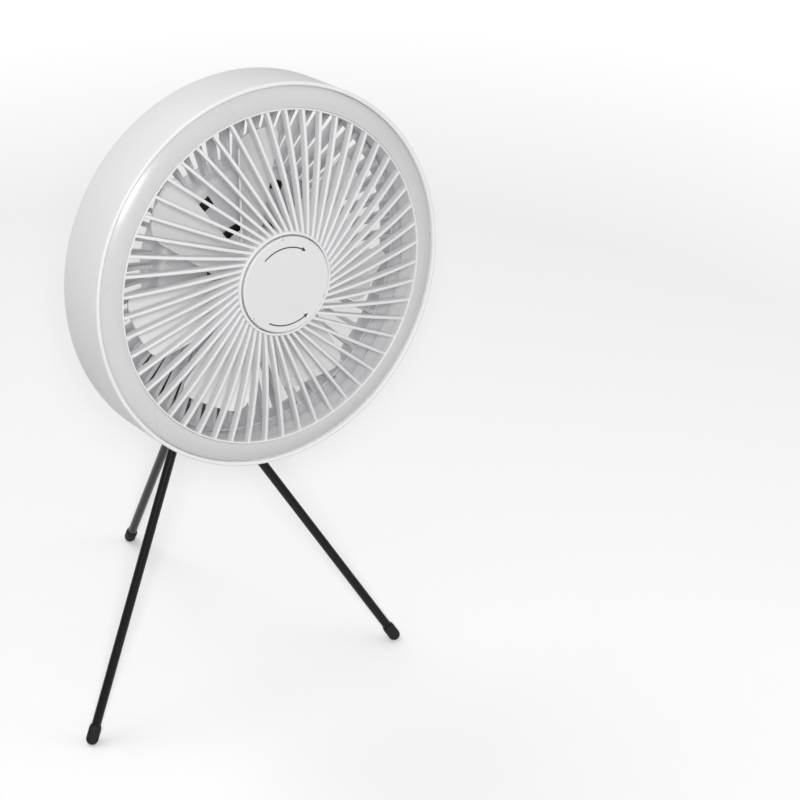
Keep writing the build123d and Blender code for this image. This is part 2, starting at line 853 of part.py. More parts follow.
def make_posts():
    """Each bar runs through the pod at its rim, and ends in a lug that carries the bail's pin."""
    seat = (Align.CENTER, Align.CENTER, Align.MIN)
    lug = rod_across(bail_lug_radius, bail_lug_width)
    lug += Box(bail_lug_width, 2 * bail_lug_radius, bail_off - seat_gap, align=seat)
    lug -= rod_across(bail_pin_radius + fit, 2 * bail_lug_width)
    bar_back = pod_back - seat_gap - bury
    bar = Box(post_width, post_depth, pod_front + post_proud - bar_back, align=seat)
    bar = Pos(0, pod_radius - post_inset, bar_back) * bar
    posts = []
    for side in (-1, 1):
        turned_bar = Rot(0, 0, -side * post_angle) * bar
        posts.append(turned_bar + Pos(side * bail_lug_x, bail_height, bail_axis_z) * lug)
    return posts


def make_bail():
    end = bail_height - bail_reach
    with BuildPart() as bail:
        with BuildLine(Plane.XY.offset(bail_axis_z)):
            FilletPolyline(
                (-bail_half, bail_height),
                (-bail_half, end),
                (bail_half, end),
                (bail_half, bail_height),
                radius=bail_bend,
            )
        with BuildSketch(Plane(origin=(-bail_half, bail_height, bail_axis_z), z_dir=(0, -1, 0))):
            Circle(bail_rod)
        sweep()
    body = bail.part
    for side in (-1, 1):
        place = Pos(side * bail_half, bail_height, bail_axis_z)
        body += place * rod_across(bail_eye, bail_eye_width)
        body -= place * rod_across(bail_pin_radius + fit, 2 * bail_eye_width)
    return body


def make_bail_pins():
    length = bail_lug_width + seat_gap + bail_eye_width
    middle = bail_lug_x + (length - bail_lug_width) / 2
    pin = rod_across(bail_pin_radius, length)
    return [Pos(side * middle, bail_height, bail_axis_z) * pin for side in (-1, 1)]


# Tilt bolt, neck and swivel
head_plane = Plane(
    origin=(0, -head_forward, apex_height + head_rise),
    x_dir=(1, 0, 0),
    z_dir=(0, -cos(radians(head_tilt)), sin(radians(head_tilt))),
)
tilt_point = head_plane.from_local_coords((0, -tilt_low, pod_back - tilt_off))
hinge_outside = neck_width / 2 + seat_gap + ear_thickness
crown_roof = apex_height + crown_top
swivel_head_seat = crown_roof - swivel_seat
neck_foot = crown_roof + washer_thickness + fine_gap


def make_tilt_bolt():
    end = hinge_outside + nut_height + bolt_tail
    body = Pos((end - hinge_outside) / 2, 0, 0) * rod_across(tilt_bolt_radius, end + hinge_outside)
    head = rod_across(bolt_head_radius, bolt_head_height)
    body += Pos(-hinge_outside - bolt_head_height / 2, 0, 0) * head
    return Pos(0, -tilt_low, pod_back - tilt_off) * body


def make_tilt_nut():
    body = extrude(RegularPolygon(bolt_head_radius, 6), nut_height)
    body -= disc(tilt_bolt_radius + fit, -cut, nut_height + cut)
    return Pos(hinge_outside, -tilt_low, pod_back - tilt_off) * (Rot(0, 90, 0) * body)


def make_neck():
    start = (0, neck_foot + neck_boss_height / 2)
    forward, rise = -tilt_point.Y, tilt_point.Z - start[1]
    bend = (forward**2 + rise**2) / (2 * forward)
    end_angle = degrees(asin(min(1.0, rise / bend)))
    centre = (-bend, start[1])
    with BuildPart() as arm:
        with BuildLine(Plane.YZ):
            CenterArc(centre, bend, 0, end_angle)
        with BuildSketch(Plane(origin=(0, 0, start[1]), z_dir=(0, 0, 1))):
            RectangleRounded(neck_width, neck_depth, neck_corner)
        sweep()
    body = arm.part
    boss = disc(neck_boss_radius, neck_foot, neck_foot + neck_boss_height)
    body += fillet(boss.edges().group_by(Axis.Z)[-1], neck_boss_round)
    body += Pos(tilt_point) * rod_across(neck_eye_radius, neck_width)
    body -= Pos(tilt_point) * rod_across(tilt_bolt_radius + fit, 2 * neck_width)
    body -= disc(swivel_radius + press, neck_foot - cut, neck_foot + swivel_bite)
    return body


def make_washer():
    outside = neck_boss_radius + washer_rim
    return disc(outside, crown_roof, crown_roof + washer_thickness, bore=swivel_radius + fine_gap)


def make_swivel_screw():
    body = disc(swivel_radius, swivel_head_seat, neck_foot + swivel_bite - fine_gap)
    return body + disc(swivel_head_radius, swivel_head_seat - swivel_head_height, swivel_head_seat)


# Stand
crown_floor = apex_height - crown_bottom
hinge_along = hinge_circle / sin(radians(leg_spread))
hinge_height = apex_height - hinge_along * cos(radians(leg_spread))
barrel_top = -hinge_along - shank_length
leg_names = ("rear", "left", "right")
leg_angles = [90 + stand_turn + i * 120 for i in range(3)]


def leg_plane(angle):
    """Frame of one leg: origin at the apex, z up along the leg, y along its hinge pin."""
    out = Vector(cos(radians(angle)), sin(radians(angle)), 0)
    up = Vector(0, 0, 1)
    lean = radians(leg_spread)
    return Plane(
        origin=(0, 0, apex_height),
        x_dir=out * cos(lean) + up * sin(lean),
        z_dir=out * -sin(lean) + up * cos(lean),
    )


def make_crown():
    body = turned(
        [
            (0, crown_floor),
            (crown_radius - crown_foot_inset, crown_floor),
            (crown_radius, crown_floor + crown_foot_height),
            (crown_radius, crown_roof - crown_waist),
            (crown_head_radius, crown_roof - crown_rim),
            (crown_head_radius, crown_roof),
            (0, crown_roof),
        ],
        {2: crown_foot_round, 3: crown_waist_round, 4: crown_rim_round, 5: crown_top_round},
    )
    clear = knuckle_radius + knuckle_clear
    far = 2 * crown_bottom
    lean = radians(leg_spread)
    with BuildSketch(Plane.XZ) as swing:
        with Locations((hinge_circle, hinge_height), (hinge_circle, hinge_height - far)):
            Circle(clear)
        with Locations((hinge_circle + far * sin(lean), hinge_height - far * cos(lean))):
            Circle(clear)
        make_hull()
    slot = extrude(swing.sketch, knuckle_width / 2 + knuckle_clear, both=True)
    pin_hole = Rot(90, 0, 0) * Cylinder(hinge_pin_radius + press, hinge_pin_length + 2 * fine_gap)
    for angle in leg_angles:
        body -= Rot(0, 0, angle) * slot
        body -= Rot(0, 0, angle) * Pos(hinge_circle, 0, hinge_height) * pin_hole
    body -= disc(swivel_radius + fit, crown_floor - cut, crown_roof + cut)
    body -= disc(swivel_head_radius + seat_gap, crown_floor - cut, swivel_head_seat + fine_gap)
    return body


def make_leg_pins():
    pin = Rot(90, 0, 0) * Cylinder(hinge_pin_radius, hinge_pin_length)
    return [Rot(0, 0, angle) * Pos(hinge_circle, 0, hinge_height) * pin for angle in leg_angles]


def make_knuckle(angle):
    pin_height = Pos(0, 0, -hinge_along)
    seat = (Align.CENTER, Align.CENTER, Align.MAX)
    body = pin_height * (Rot(90, 0, 0) * Cylinder(knuckle_radius, knuckle_width))
    body += pin_height * Box(2 * knuckle_radius, knuckle_width, shank_length, align=seat)
    body += disc(knuckle_radius, barrel_top - knuckle_rim, barrel_top)
    body += disc(barrel_radius, barrel_top - barrel_length, barrel_top)
    body -= disc(rod_radius + press, barrel_top - barrel_length - cut, barrel_top + rod_bite)
    body -= pin_height * (Rot(90, 0, 0) * Cylinder(hinge_pin_radius + fit, 2 * knuckle_width))
    return leg_plane(angle).location * body


def make_leg_rod(angle):
    body = disc(rod_radius, -leg_length + foot_radius, barrel_top + rod_bite - fine_gap)
    return leg_plane(angle).location * body


def make_foot(angle):
    """Rubber cap with a domed end, worn flat where it stands on the ground."""
    body = turned(
        [
            (0, -leg_length),
            (foot_radius, -leg_length),
            (foot_radius, -leg_length + foot_length - foot_taper),
            (foot_collar, -leg_length + foot_length),
            (0, -leg_length + foot_length),
        ],
        {1: foot_radius * foot_dome, 2: foot_round},
    )
    bore_end = -leg_length + foot_radius - fine_gap
    body -= disc(rod_radius + press, bore_end, -leg_length + foot_length + cut)
    seat = (Align.CENTER, Align.CENTER, Align.MAX)
    ground = Box(8 * foot_radius, 8 * foot_radius, 4 * foot_radius, align=seat)
    x, y = foot_point(angle)
    return leg_plane(angle).location * body - Pos(x, y, 0) * ground


def foot_point(angle):
    reach = leg_length * sin(radians(leg_spread))
    return reach * cos(radians(angle)), reach * sin(radians(angle))


# Assembly
head_pieces = {
    "housing_drum": make_drum(),
    "light_diffuser": make_diffuser(),
    "led_board": make_led_board(),
    "led_chips": make_led_chips(),
    "front_grille": make_grille(),
    "scent_cap": make_cap(),
    "scent_pad": make_pad(),
    "impeller": make_impeller(),
    "impeller_screw": make_impeller_screw(),
    "motor_shaft": make_shaft(),
    "motor_rotor": make_rotor(),
    "motor_magnets": make_magnets(),
    "motor_stator": make_stator(),
    "motor_mount": make_motor_mount(),
    "shaft_bearings": make_bearings(),
    "motor_screws": make_motor_screws(),
    "rear_cover": make_rear_cover(),
    "rear_cover_screws": make_drum_screws(),
    "pod_cover": make_pod_cover(),
    "pod_screws": make_pod_screws(),
    "battery_cells": make_cells(),
    "battery_tray": make_tray(),
    "control_board": make_pcb(),
    "board_posts": make_pcb_posts(),
    "fan_button": Pos(-button_spacing / 2, button_height, 0) * make_button(),
    "light_button": Pos(button_spacing / 2, button_height, 0) * make_button(),
    "button_switches": make_switches(),
    "charge_socket": make_socket(),
    "charge_lenses": make_lenses(),
    "bail_posts": make_posts(),
    "hang_bail": make_bail(),
    "bail_pins": make_bail_pins(),
    "tilt_bolt": make_tilt_bolt(),
    "tilt_nut": make_tilt_nut(),
}
stand_pieces = {
    "neck_arm": make_neck(),
    "swivel_washer": make_washer(),
    "swivel_screw": make_swivel_screw(),
    "crown": make_crown(),
    "leg_pins": make_leg_pins(),
}
for name, angle in zip(leg_names, leg_angles):
    stand_pieces[f"leg_knuckle_{name}"] = make_knuckle(angle)
    stand_pieces[f"leg_rod_{name}"] = make_leg_rod(angle)
    stand_pieces[f"foot_cap_{name}"] = make_foot(angle)


def solids_of(piece):
    """The solids of a piece, which may be one part or a list of them."""
    parts = piece if isinstance(piece, list) else [piece]
    return [solid for part in parts for solid in part.solids()]


model = {}
for name, piece in head_pieces.items():
    model[name] = [head_plane.location * solid for solid in solids_of(piece)]
model.update({name: solids_of(piece) for name, piece in stand_pieces.items()})

# The origin is on the ground, under the middle of the whole object's outline.
outline = Compound([s for solids in model.values() for s in solids]).bounding_box()
shift = Pos(-(outline.min.X + outline.max.X) / 2, -(outline.min.Y + outline.max.Y) / 2, -outline.min.Z)

os.makedirs("parts", exist_ok=True)
for name, solids in model.items():
    moved = [shift * s for s in solids]
    export_step(moved[0] if len(moved) == 1 else Compound(moved), f"parts/{name}.step")


def placed(point):
    """A point of the unshifted model, in the exported frame."""
    return tuple((shift * Pos(*point)).position)


# Pivot points of the moving pieces, in the exported frame.
head_out = head_plane.z_dir
pivots = {
    "face_axis": placed(head_plane.from_local_coords((0, 0, 0))),
    "tilt": placed(tilt_point),
    "bail": placed(head_plane.from_local_coords((0, bail_height, bail_axis_z))),
    "swivel": placed((0, 0, crown_roof)),
}
for name, angle in zip(leg_names, leg_angles):
    out = (hinge_circle * cos(radians(angle)), hinge_circle * sin(radians(angle)), hinge_height)
    pivots[f"leg_{name}"] = placed(out)
for name, point in pivots.items():
    print(name, [round(value, 4) for value in point])
print("face direction", [round(value, 6) for value in head_out])
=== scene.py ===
import bpy
import bmesh
import json
from math import sin, cos, pi, radians, sqrt, tan
from mathutils import Matrix, Vector


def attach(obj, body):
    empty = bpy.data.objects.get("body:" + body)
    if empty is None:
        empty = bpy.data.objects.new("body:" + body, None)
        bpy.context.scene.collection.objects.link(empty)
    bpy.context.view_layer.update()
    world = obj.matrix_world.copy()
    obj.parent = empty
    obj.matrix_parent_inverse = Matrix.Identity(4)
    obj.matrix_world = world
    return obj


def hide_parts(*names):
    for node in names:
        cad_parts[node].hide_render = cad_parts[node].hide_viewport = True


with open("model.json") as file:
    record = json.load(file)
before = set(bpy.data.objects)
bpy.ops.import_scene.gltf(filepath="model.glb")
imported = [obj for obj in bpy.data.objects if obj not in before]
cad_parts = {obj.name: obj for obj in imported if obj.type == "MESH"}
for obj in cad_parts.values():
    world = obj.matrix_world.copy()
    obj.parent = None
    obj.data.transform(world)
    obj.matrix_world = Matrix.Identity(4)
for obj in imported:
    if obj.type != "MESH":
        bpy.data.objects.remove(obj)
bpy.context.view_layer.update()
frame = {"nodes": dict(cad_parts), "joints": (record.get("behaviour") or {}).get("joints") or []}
nodes = frame["nodes"]
joints = {joint["name"]: joint for joint in frame["joints"]}
mm = 0.001
print("frame loaded:", len(nodes), "nodes")


# the head's own frame, in millimetres: x to the right of the face, y up it, z out of it
def makeHeadFrame():
    spin = joints["impeller_spin"]
    out, right = Vector(spin["axis"]).normalized(), Vector((1, 0, 0))
    axes = Matrix((right, out.cross(right), out)).transposed().to_4x4()
    return Matrix.Translation(Vector(spin["pos_m"])) @ axes @ Matrix.Scale(mm, 4)


headFrame = makeHeadFrame()


# the head's frame turned about the head's axis, for what repeats around it
def turnedHead(turn):
    return headFrame @ Matrix.Rotation(turn, 4, "Z")


# the value that lies a share of the way from the first to the second
def between(first, second, share):
    return first + (second - first) * share


# camera, floor and light
camera = {
    "place": (-0.5416, -0.96694, 0.86591),
    "right": (0.814493, -0.580098, 0.009388),
    "up": (0.302309, 0.43816, 0.846537),
    "lens": 99.67,
    "sensor": 36.0,
}


def makeCamera():
    eye = bpy.data.objects.new("camera", bpy.data.cameras.new("camera"))
    bpy.context.collection.objects.link(eye)
    right, up = Vector(camera["right"]), Vector(camera["up"])
    axes = Matrix((right, up, right.cross(up))).transposed().to_4x4()
    eye.matrix_world = Matrix.Translation(camera["place"]) @ axes
    eye.data.lens = camera["lens"]
    eye.data.sensor_width = camera["sensor"]
    bpy.context.scene.camera = eye
    bpy.context.scene.view_settings.view_transform = "Standard"


makeCamera()

studio = {
    "world": 0.47,  # strength of the light from all round
    "white": 1.0,  # strength of the backdrop, as the camera sees it
    "floorSide": 6.0,
    "floorGreys": ((0.44, 0.44, 0.44), (0.46, 0.46, 0.46)),  # the floor as it lights the object
    "floorTone": 0.4,  # size of the soft patches in those greys
    "floorRough": 0.9,
    "floorRoughSpread": 0.05,
    "floorLift": 0.4,  # glow that the camera sees on the far floor
    "floorFade": (0.6, 1.3),  # how far out that glow starts and is full
    "lookAt": (0, -0.08, 0.26),
    "softBoxes": {
        # place, side and watts of each lamp
        "key": ((-1.05, -1.85, 1.5), 0.35, 35.5),
        "fill": ((1.7, -1.2, 1.2), 1.2, 5.0),
        "top": ((-0.3, 0.9, 1.9), 1.2, 9.0),
    },
}


def makeSoftBox(name, place, side, watts):
    lamp = bpy.data.lights.new(name, "AREA")
    lamp.shape = "SQUARE"
    lamp.size = side
    lamp.energy = watts
    holder = bpy.data.objects.new(name, lamp)
    holder.location = place
    toTarget = Vector(studio["lookAt"]) - Vector(place)
    holder.rotation_euler = toTarget.to_track_quat("-Z", "Y").to_euler()
    bpy.context.collection.objects.link(holder)


for softBox, setting in studio["softBoxes"].items():
    makeSoftBox(softBox, *setting)


# shader maths: a socket that adds Math nodes when it is used in an expression
class Signal:
    def __init__(self, finish, socket):
        self.finish = finish
        self.socket = socket

    def math(self, operation, first, second):
        return self.finish.node("ShaderNodeMath", {"operation": operation}, {0: first, 1: second})

    def __add__(self, other):
        return self.math("ADD", self, other)

    def __radd__(self, other):
        return self.math("ADD", other, self)

    def __sub__(self, other):
        return self.math("SUBTRACT", self, other)

    def __rsub__(self, other):
        return self.math("SUBTRACT", other, self)

    def __mul__(self, other):
        return self.math("MULTIPLY", self, other)

    def __rmul__(self, other):
        return self.math("MULTIPLY", other, self)

    def orElse(self, other):
        return self.math("MAXIMUM", self, other)


# the nodes of one material or world: constants on its shader's sockets, and what feeds the others
class Finish:
    def __init__(self, owner, shader="Principled BSDF", **constants):
        owner.use_nodes = True
        self.owner = owner
        self.tree = owner.node_tree
        self.shader = self.tree.nodes[shader]
        for socket, value in constants.items():
            self.shader.inputs[socket.replace("_", " ")].default_value = value

    def node(self, kind, settings=None, inputs=None, output=0):
        made = self.tree.nodes.new(kind)
        for setting, value in (settings or {}).items():
            setattr(made, setting, value)
        for socket, value in (inputs or {}).items():
            if isinstance(value, Signal):
                self.tree.links.new(value.socket, made.inputs[socket])
            else:
                made.inputs[socket].default_value = value
        return Signal(self, made.outputs[output])

    def place(self, scale=(1, 1, 1)):
        spot = self.node("ShaderNodeTexCoord", output="Object")
        if scale == (1, 1, 1):
            return spot
        return self.node("ShaderNodeVectorMath", {"operation": "MULTIPLY"}, {0: spot, 1: scale})

    # size is in metres
    def noise(self, size, detail=2.0, roughness=0.5, stretch=(1, 1, 1)):
        inputs = {"Vector": self.place(stretch), "Scale": 1 / size, "Detail": detail, "Roughness": roughness}
        return self.node("ShaderNodeTexNoise", None, inputs)

    # 0 below low and 1 above high
    def fade(self, value, low, high):
        return self.node("ShaderNodeMapRange", None, {"Value": value, "From Min": low, "From Max": high})

    # sockets 6 and 7 of the Mix node take its two colours, and output 2 gives the mixed one
    def blend(self, factor, first, second):
        first, second = [(*colour, 1) if isinstance(colour, tuple) else colour for colour in (first, second)]
        return self.node("ShaderNodeMix", {"data_type": "RGBA"}, {0: factor, 6: first, 7: second}, output=2)

    def feed(self, socket, signal):
        self.tree.links.new(signal.socket, self.shader.inputs[socket])

    def bump(self, height, depth):
        self.feed("Normal", self.node("ShaderNodeBump", None, {"Height": height, "Distance": depth}))


def newFinish(name, **constants):
    return Finish(bpy.data.materials.new(name), **constants)


# what all moulded plastics share, with sizes in metres
moulding = {
    "cloud": 0.045,
    "fleck": 0.0012,
    "cloudShare": 0.75,
    "contrast": (0.35, 0.65),
    "handled": 0.02,  # size of the patches that hands have made smoother
    "handledRange": (0.3, 0.7),
    "handledSpread": 0.1,
    "grain": 0.0005,
}
# pale colour, its shade, roughness, depth of the grain and specular level of each plastic
plastics = {
    "whiteShell": ((0.80, 0.80, 0.81), (0.775, 0.775, 0.785), 0.48, 0.00002, 0.5),
    # the rear cover is the shell's white plastic, darkened as painted shade for its place deep inside the
    # drum
    "rearPaintedShade": ((0.62, 0.61, 0.63), (0.59, 0.58, 0.60), 0.45, 0.00002, 0.5),
    "whiteLid": ((0.735, 0.735, 0.74), (0.715, 0.715, 0.72), 0.40, 0.00001, 0.5),
    "whiteGrille": ((0.76, 0.76, 0.765), (0.73, 0.73, 0.74), 0.38, 0.00001, 0.5),
    "whiteBlades": ((0.78, 0.78, 0.78), (0.75, 0.75, 0.755), 0.36, 0.00001, 0.5),
    "milkyRing": ((0.61, 0.61, 0.615), (0.59, 0.59, 0.595), 0.30, 0.00001, 0.5),
    "greyButton": ((0.36, 0.36, 0.37), (0.33, 0.33, 0.34), 0.45, 0.00002, 0.5),
    "blackMoulded": ((0.014, 0.014, 0.015), (0.009, 0.009, 0.010), 0.42, 0.00002, 0.28),
    "blackInner": ((0.028, 0.028, 0.028), (0.02, 0.02, 0.02), 0.62, 0.00003, 0.28),
    "blackCast": ((0.015, 0.015, 0.016), (0.010, 0.010, 0.011), 0.36, 0.00005, 0.28),
    "softRubber": ((0.013, 0.013, 0.013), (0.008, 0.008, 0.008), 0.66, 0.00004, 0.28),
    "greyMagnet": ((0.06, 0.06, 0.065), (0.035, 0.035, 0.04), 0.55, 0.00004, 0.5),
    "paleBoard": ((0.72, 0.72, 0.69), (0.66, 0.66, 0.63), 0.45, 0.00001, 0.5),
    "greenBoard": ((0.02, 0.12, 0.05), (0.012, 0.08, 0.035), 0.35, 0.00001, 0.5),
    "yellowChip": ((0.78, 0.62, 0.20), (0.70, 0.52, 0.14), 0.28, 0.00001, 0.5),
    "clearLens": ((0.80, 0.84, 0.88), (0.74, 0.78, 0.83), 0.15, 0.000005, 0.5),
    "blueSleeve": ((0.03, 0.07, 0.27), (0.02, 0.05, 0.21), 0.30, 0.00002, 0.5),
}


def dressMoulded(name, pale, shade, rough, depth, specular):
    finish = newFinish(name, Specular_IOR_Level=specular)
    clouds = finish.noise(moulding["cloud"], 3.0)
    flecks = finish.noise(moulding["fleck"])
    mottled = clouds * moulding["cloudShare"] + flecks * (1 - moulding["cloudShare"])
    finish.feed("Base Color", finish.blend(finish.fade(mottled, *moulding["contrast"]), shade, pale))
    handled = finish.fade(finish.noise(moulding["handled"], 4.0, 0.6), *moulding["handledRange"])
    spread = moulding["handledSpread"]
    finish.feed("Roughness", handled * spread + (rough - spread / 2))
    finish.bump(finish.noise(moulding["grain"], 3.0, 0.6), depth)
    return finish.owner


looks = {name: dressMoulded(name, *values) for name, values in plastics.items()}
print("plastics mixed")

rodPaint = {
    "black": (0.006, 0.006, 0.007),
    "rubbedBlack": (0.015, 0.015, 0.016),
    "rubbedShare": 0.5,
    "speck": 0.0016,
    "rubbed": 0.012,  # size of the patches where the gloss is worn
    "rubbedRange": (0.62, 0.74),
    "rough": 0.2,
    "roughSpread": 0.12,
    "coat": 0.14,
    "coatLoss": 0.1,
    "coatRough": 0.15,
    "specular": 0.16,
    "depth": 0.00002,
}


def dressPaintedRod():
    constants = {"Coat_Roughness": rodPaint["coatRough"], "Specular_IOR_Level": rodPaint["specular"]}
    finish = newFinish("blackGloss", **constants)
    speck = finish.noise(rodPaint["speck"], 3.0)
    rubbed = finish.fade(finish.noise(rodPaint["rubbed"], 4.0, 0.65), *rodPaint["rubbedRange"])
    black = finish.blend(rubbed * rodPaint["rubbedShare"], rodPaint["black"], rodPaint["rubbedBlack"])
    finish.feed("Base Color", black)
    spread = rodPaint["roughSpread"]
    finish.feed("Roughness", speck * spread + rubbed * spread + rodPaint["rough"])
    finish.feed("Coat Weight", rodPaint["coat"] - rubbed * rodPaint["coatLoss"])
    finish.bump(speck, rodPaint["depth"])
    return finish.owner


# pale colour, dark colour, roughness and stretch of the drawing marks of each steel
steels = {
    "zincSteel": ((0.62, 0.62, 0.63), (0.46, 0.46, 0.48), 0.22, (1, 1, 1)),
    "turnedSteel": ((0.58, 0.58, 0.59), (0.42, 0.42, 0.44), 0.20, (1, 5, 1)),
    "blackSteel": ((0.060, 0.060, 0.064), (0.035, 0.035, 0.037), 0.28, (1, 1, 1)),
}
drawing = {"size": 0.0009, "roughSpread": 0.18, "depth": 0.00001}


def dressSteel(name, pale, dark, rough, stretch):
    finish = newFinish(name, Metallic=1.0)
    drawn = finish.noise(drawing["size"], 4.0, 0.6, stretch)
    finish.feed("Base Color", finish.blend(drawn, dark, pale))
    finish.feed("Roughness", drawn * drawing["roughSpread"] + rough)
    finish.bump(drawn, drawing["depth"])
    return finish.owner


felt = {
    "dark": (0.46, 0.43, 0.34),
    "pale": (0.66, 0.63, 0.54),
    "sheen": 0.3,
    "fibre": 0.0007,
    "tuft": 0.006,
    "rough": 0.85,
    "roughSpread": 0.1,
    "depth": 0.0003,
}


def dressFelt():
    finish = newFinish("paleFelt", Sheen_Weight=felt["sheen"])
    fibres = finish.noise(felt["fibre"], 6.0, 0.75)
    finish.feed("Base Color", finish.blend(fibres, felt["dark"], felt["pale"]))
    finish.feed("Roughness", finish.noise(felt["tuft"], 3.0) * felt["roughSpread"] + felt["rough"])
    finish.bump(fibres, felt["depth"])
    return finish.owner


winding = {
    "dark": (0.30, 0.10, 0.03),
    "pale": (0.66, 0.28, 0.10),
    "metallic": 0.9,
    "turnsScale": 900.0,
    "stain": 0.001,
    "rough": 0.25,
    "roughSpread": 0.15,
    "depth": 0.0001,
}


def dressWinding():
    finish = newFinish("copperWinding", Metallic=winding["metallic"])
    inputs = {"Vector": finish.place(), "Scale": winding["turnsScale"]}
    turns = finish.node("ShaderNodeTexWave", {"bands_direction": "Z"}, inputs)
    finish.feed("Base Color", finish.blend(turns, winding["dark"], winding["pale"]))
    finish.feed("Roughness", finish.noise(winding["stain"]) * winding["roughSpread"] + winding["rough"])
    finish.bump(turns, winding["depth"])
    return finish.owner


ink = {
    "dark": (0.020, 0.020, 0.022),
    "pale": (0.045, 0.045, 0.048),
    "wear": 0.0008,
    "rough": 0.45,
    "roughSpread": 0.1,
    "depth": 0.000005,
}


def dressInk():
    finish = newFinish("darkInk")
    wear = finish.noise(ink["wear"], 3.0)
    finish.feed("Base Color", finish.blend(wear, ink["dark"], ink["pale"]))
    finish.feed("Roughness", wear * ink["roughSpread"] + ink["rough"])
    finish.bump(wear, ink["depth"])
    return finish.owner


looks["blackGloss"] = dressPaintedRod()
looks.update({name: dressSteel(name, *values) for name, values in steels.items()})
looks["paleFelt"] = dressFelt()
looks["copperWinding"] = dressWinding()
looks["darkInk"] = dressInk()
print("metals, felt, winding and ink mixed")


# the camera, glossy and clear surfaces see a white floor, and the light that it gives back is greyer
def dressFloor():
    finish = newFinish("paleFloor", Specular_IOR_Level=0.0, Emission_Strength=1.0)
    seen = finish.node("ShaderNodeLightPath", output="Is Camera Ray")
    mirrored = finish.node("ShaderNodeLightPath", output="Is Glossy Ray")
    through = finish.node("ShaderNodeLightPath", output="Is Transmission Ray")
    tone = finish.noise(studio["floorTone"])
    plain = finish.blend(tone, *studio["floorGreys"])
    finish.feed("Base Color", finish.blend(seen.orElse(mirrored).orElse(through), plain, (1, 1, 1)))
    finish.feed("Roughness", tone * studio["floorRoughSpread"] + studio["floorRough"])
    away = finish.node("ShaderNodeVectorMath", {"operation": "LENGTH"}, {0: finish.place()}, output=1)
    lift = studio["floorLift"]
    raised = finish.fade(away, *studio["floorFade"]) * seen
    finish.feed("Emission Color", finish.blend(raised, (0, 0, 0), (lift, lift, lift)))
    return finish.owner


def makeWorld():
    world = bpy.data.worlds.new("studio")
    bpy.context.scene.world = world
    sky = Finish(world, "Background", Color=(1, 1, 1, 1))
    seen = sky.node("ShaderNodeLightPath", output="Is Camera Ray")
    through = sky.node("ShaderNodeLightPath", output="Is Transmission Ray")
    levels = {"Value": seen.orElse(through), "To Min": studio["world"], "To Max": studio["white"]}
    sky.feed("Strength", sky.node("ShaderNodeMapRange", None, levels))


def makeFloor():
    half = studio["floorSide"] / 2
    corners = [(-half, -half, 0), (half, -half, 0), (half, half, 0), (-half, half, 0)]
    mesh = bpy.data.meshes.new("floor")
    mesh.from_pydata(corners, [], [(0, 1, 2, 3)])
    mesh.materials.append(dressFloor())
    floor = bpy.data.objects.new("floor", mesh)
    bpy.context.collection.objects.link(floor)


makeWorld()
makeFloor()
print("studio set")


# mesh helpers
def smoothSides(mesh, crease=38):
    mesh.shade_smooth()
    mesh.set_sharp_from_angle(angle=radians(crease))


def addPiece(name, mesh, look, body, slot, *replaced):
    mesh.materials.append(looks[look])
    smoothSides(mesh)
    piece = bpy.data.objects.new(name, mesh)
    bpy.context.collection.objects.link(piece)
    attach(piece, body)
    if replaced:
        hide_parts(*replaced)
    return piece


# corner points of an outline, where rounds gives the radius of each corner by its number
def roundedOutline(points, rounds, steps=6):
    outline = []
    for index, (x, y) in enumerate(points):
        corner = Vector((x, y))
        radius = rounds.get(index, 0)
        if not radius:
            outline.append((x, y))
            continue
        before = (Vector(points[index - 1]) - corner).normalized()
        after = (Vector(points[(index + 1) % len(points)]) - corner).normalized()
        half = before.angle(after) / 2
        start = corner + before * radius / tan(half)
        middle = corner + (before + after).normalized() * radius / sin(half)
        arm = start - middle
        sweep = pi - 2 * half if before.cross(after) < 0 else 2 * half - pi
        for step in range(steps + 1):
            turn = sweep * step / steps
            spun = Vector((arm.x * cos(turn) - arm.y * sin(turn), arm.x * sin(turn) + arm.y * cos(turn)))
            outline.append(tuple(middle + spun))
    return outline


# rings of points joined side by side
def joinRings(mesh, rows):
    for here, there in rows:
        for j in range(len(here)):
            k = (j + 1) % len(here)
            mesh.faces.new((here[j], here[k], there[k], there[j]))


# a closed outline of (radius, z) turned about the head's axis
def turnInto(mesh, outline, turns):
    rings = []
    for i in range(turns):
        turned = turnedHead(2 * pi * i / turns)
        rings.append([mesh.verts.new(turned @ Vector((r, 0, z))) for r, z in outline])
    joinRings(mesh, zip(rings, rings[1:] + rings[:1]))


# rings of points joined side by side, with the ends closed
def skinRings(mesh, rings):
    rows = [[mesh.verts.new(point) for point in ring] for ring in rings]
    joinRings(mesh, zip(rows, rows[1:]))
    mesh.faces.new(rows[0][::-1])
    mesh.faces.new(rows[-1])


def finished(mesh, name):
    bmesh.ops.remove_doubles(mesh, verts=mesh.verts, dist=1e-7)
    bmesh.ops.dissolve_degenerate(mesh, dist=1e-8, edges=mesh.edges)
    bmesh.ops.recalc_face_normals(mesh, faces=mesh.faces)
    data = bpy.data.meshes.new(name)
    mesh.to_mesh(data)
    mesh.free()
    return data


# drum: one moulding of outer wall, rear floor and air duct
drum = {
    "radius": 105.4,
    "wall": 2.2,
    "back": -35.0,
    "lip": 2.6,
    "floorFront": -30.6,
    "floorBack": -32.8,
    "rabbet": 100.0,
    "ductOutside": 97.2,
    "ductBore": 95.4,
    "skirtOutside": 92.0,
    "skirtBore": 91.0,
    "skirtFront": -2.0,
    "skirtBack": -10.1,
    "shelf": 1.4,
    # radius of each rounded corner by its number in the outline, here and in the other dictionaries
    "rounds": {0: 3.0, 1: 1.05, 2: 1.0, 3: 1.0, 4: 1.0, 8: 0.4, 13: 0.3},
    "turns": 192,
}


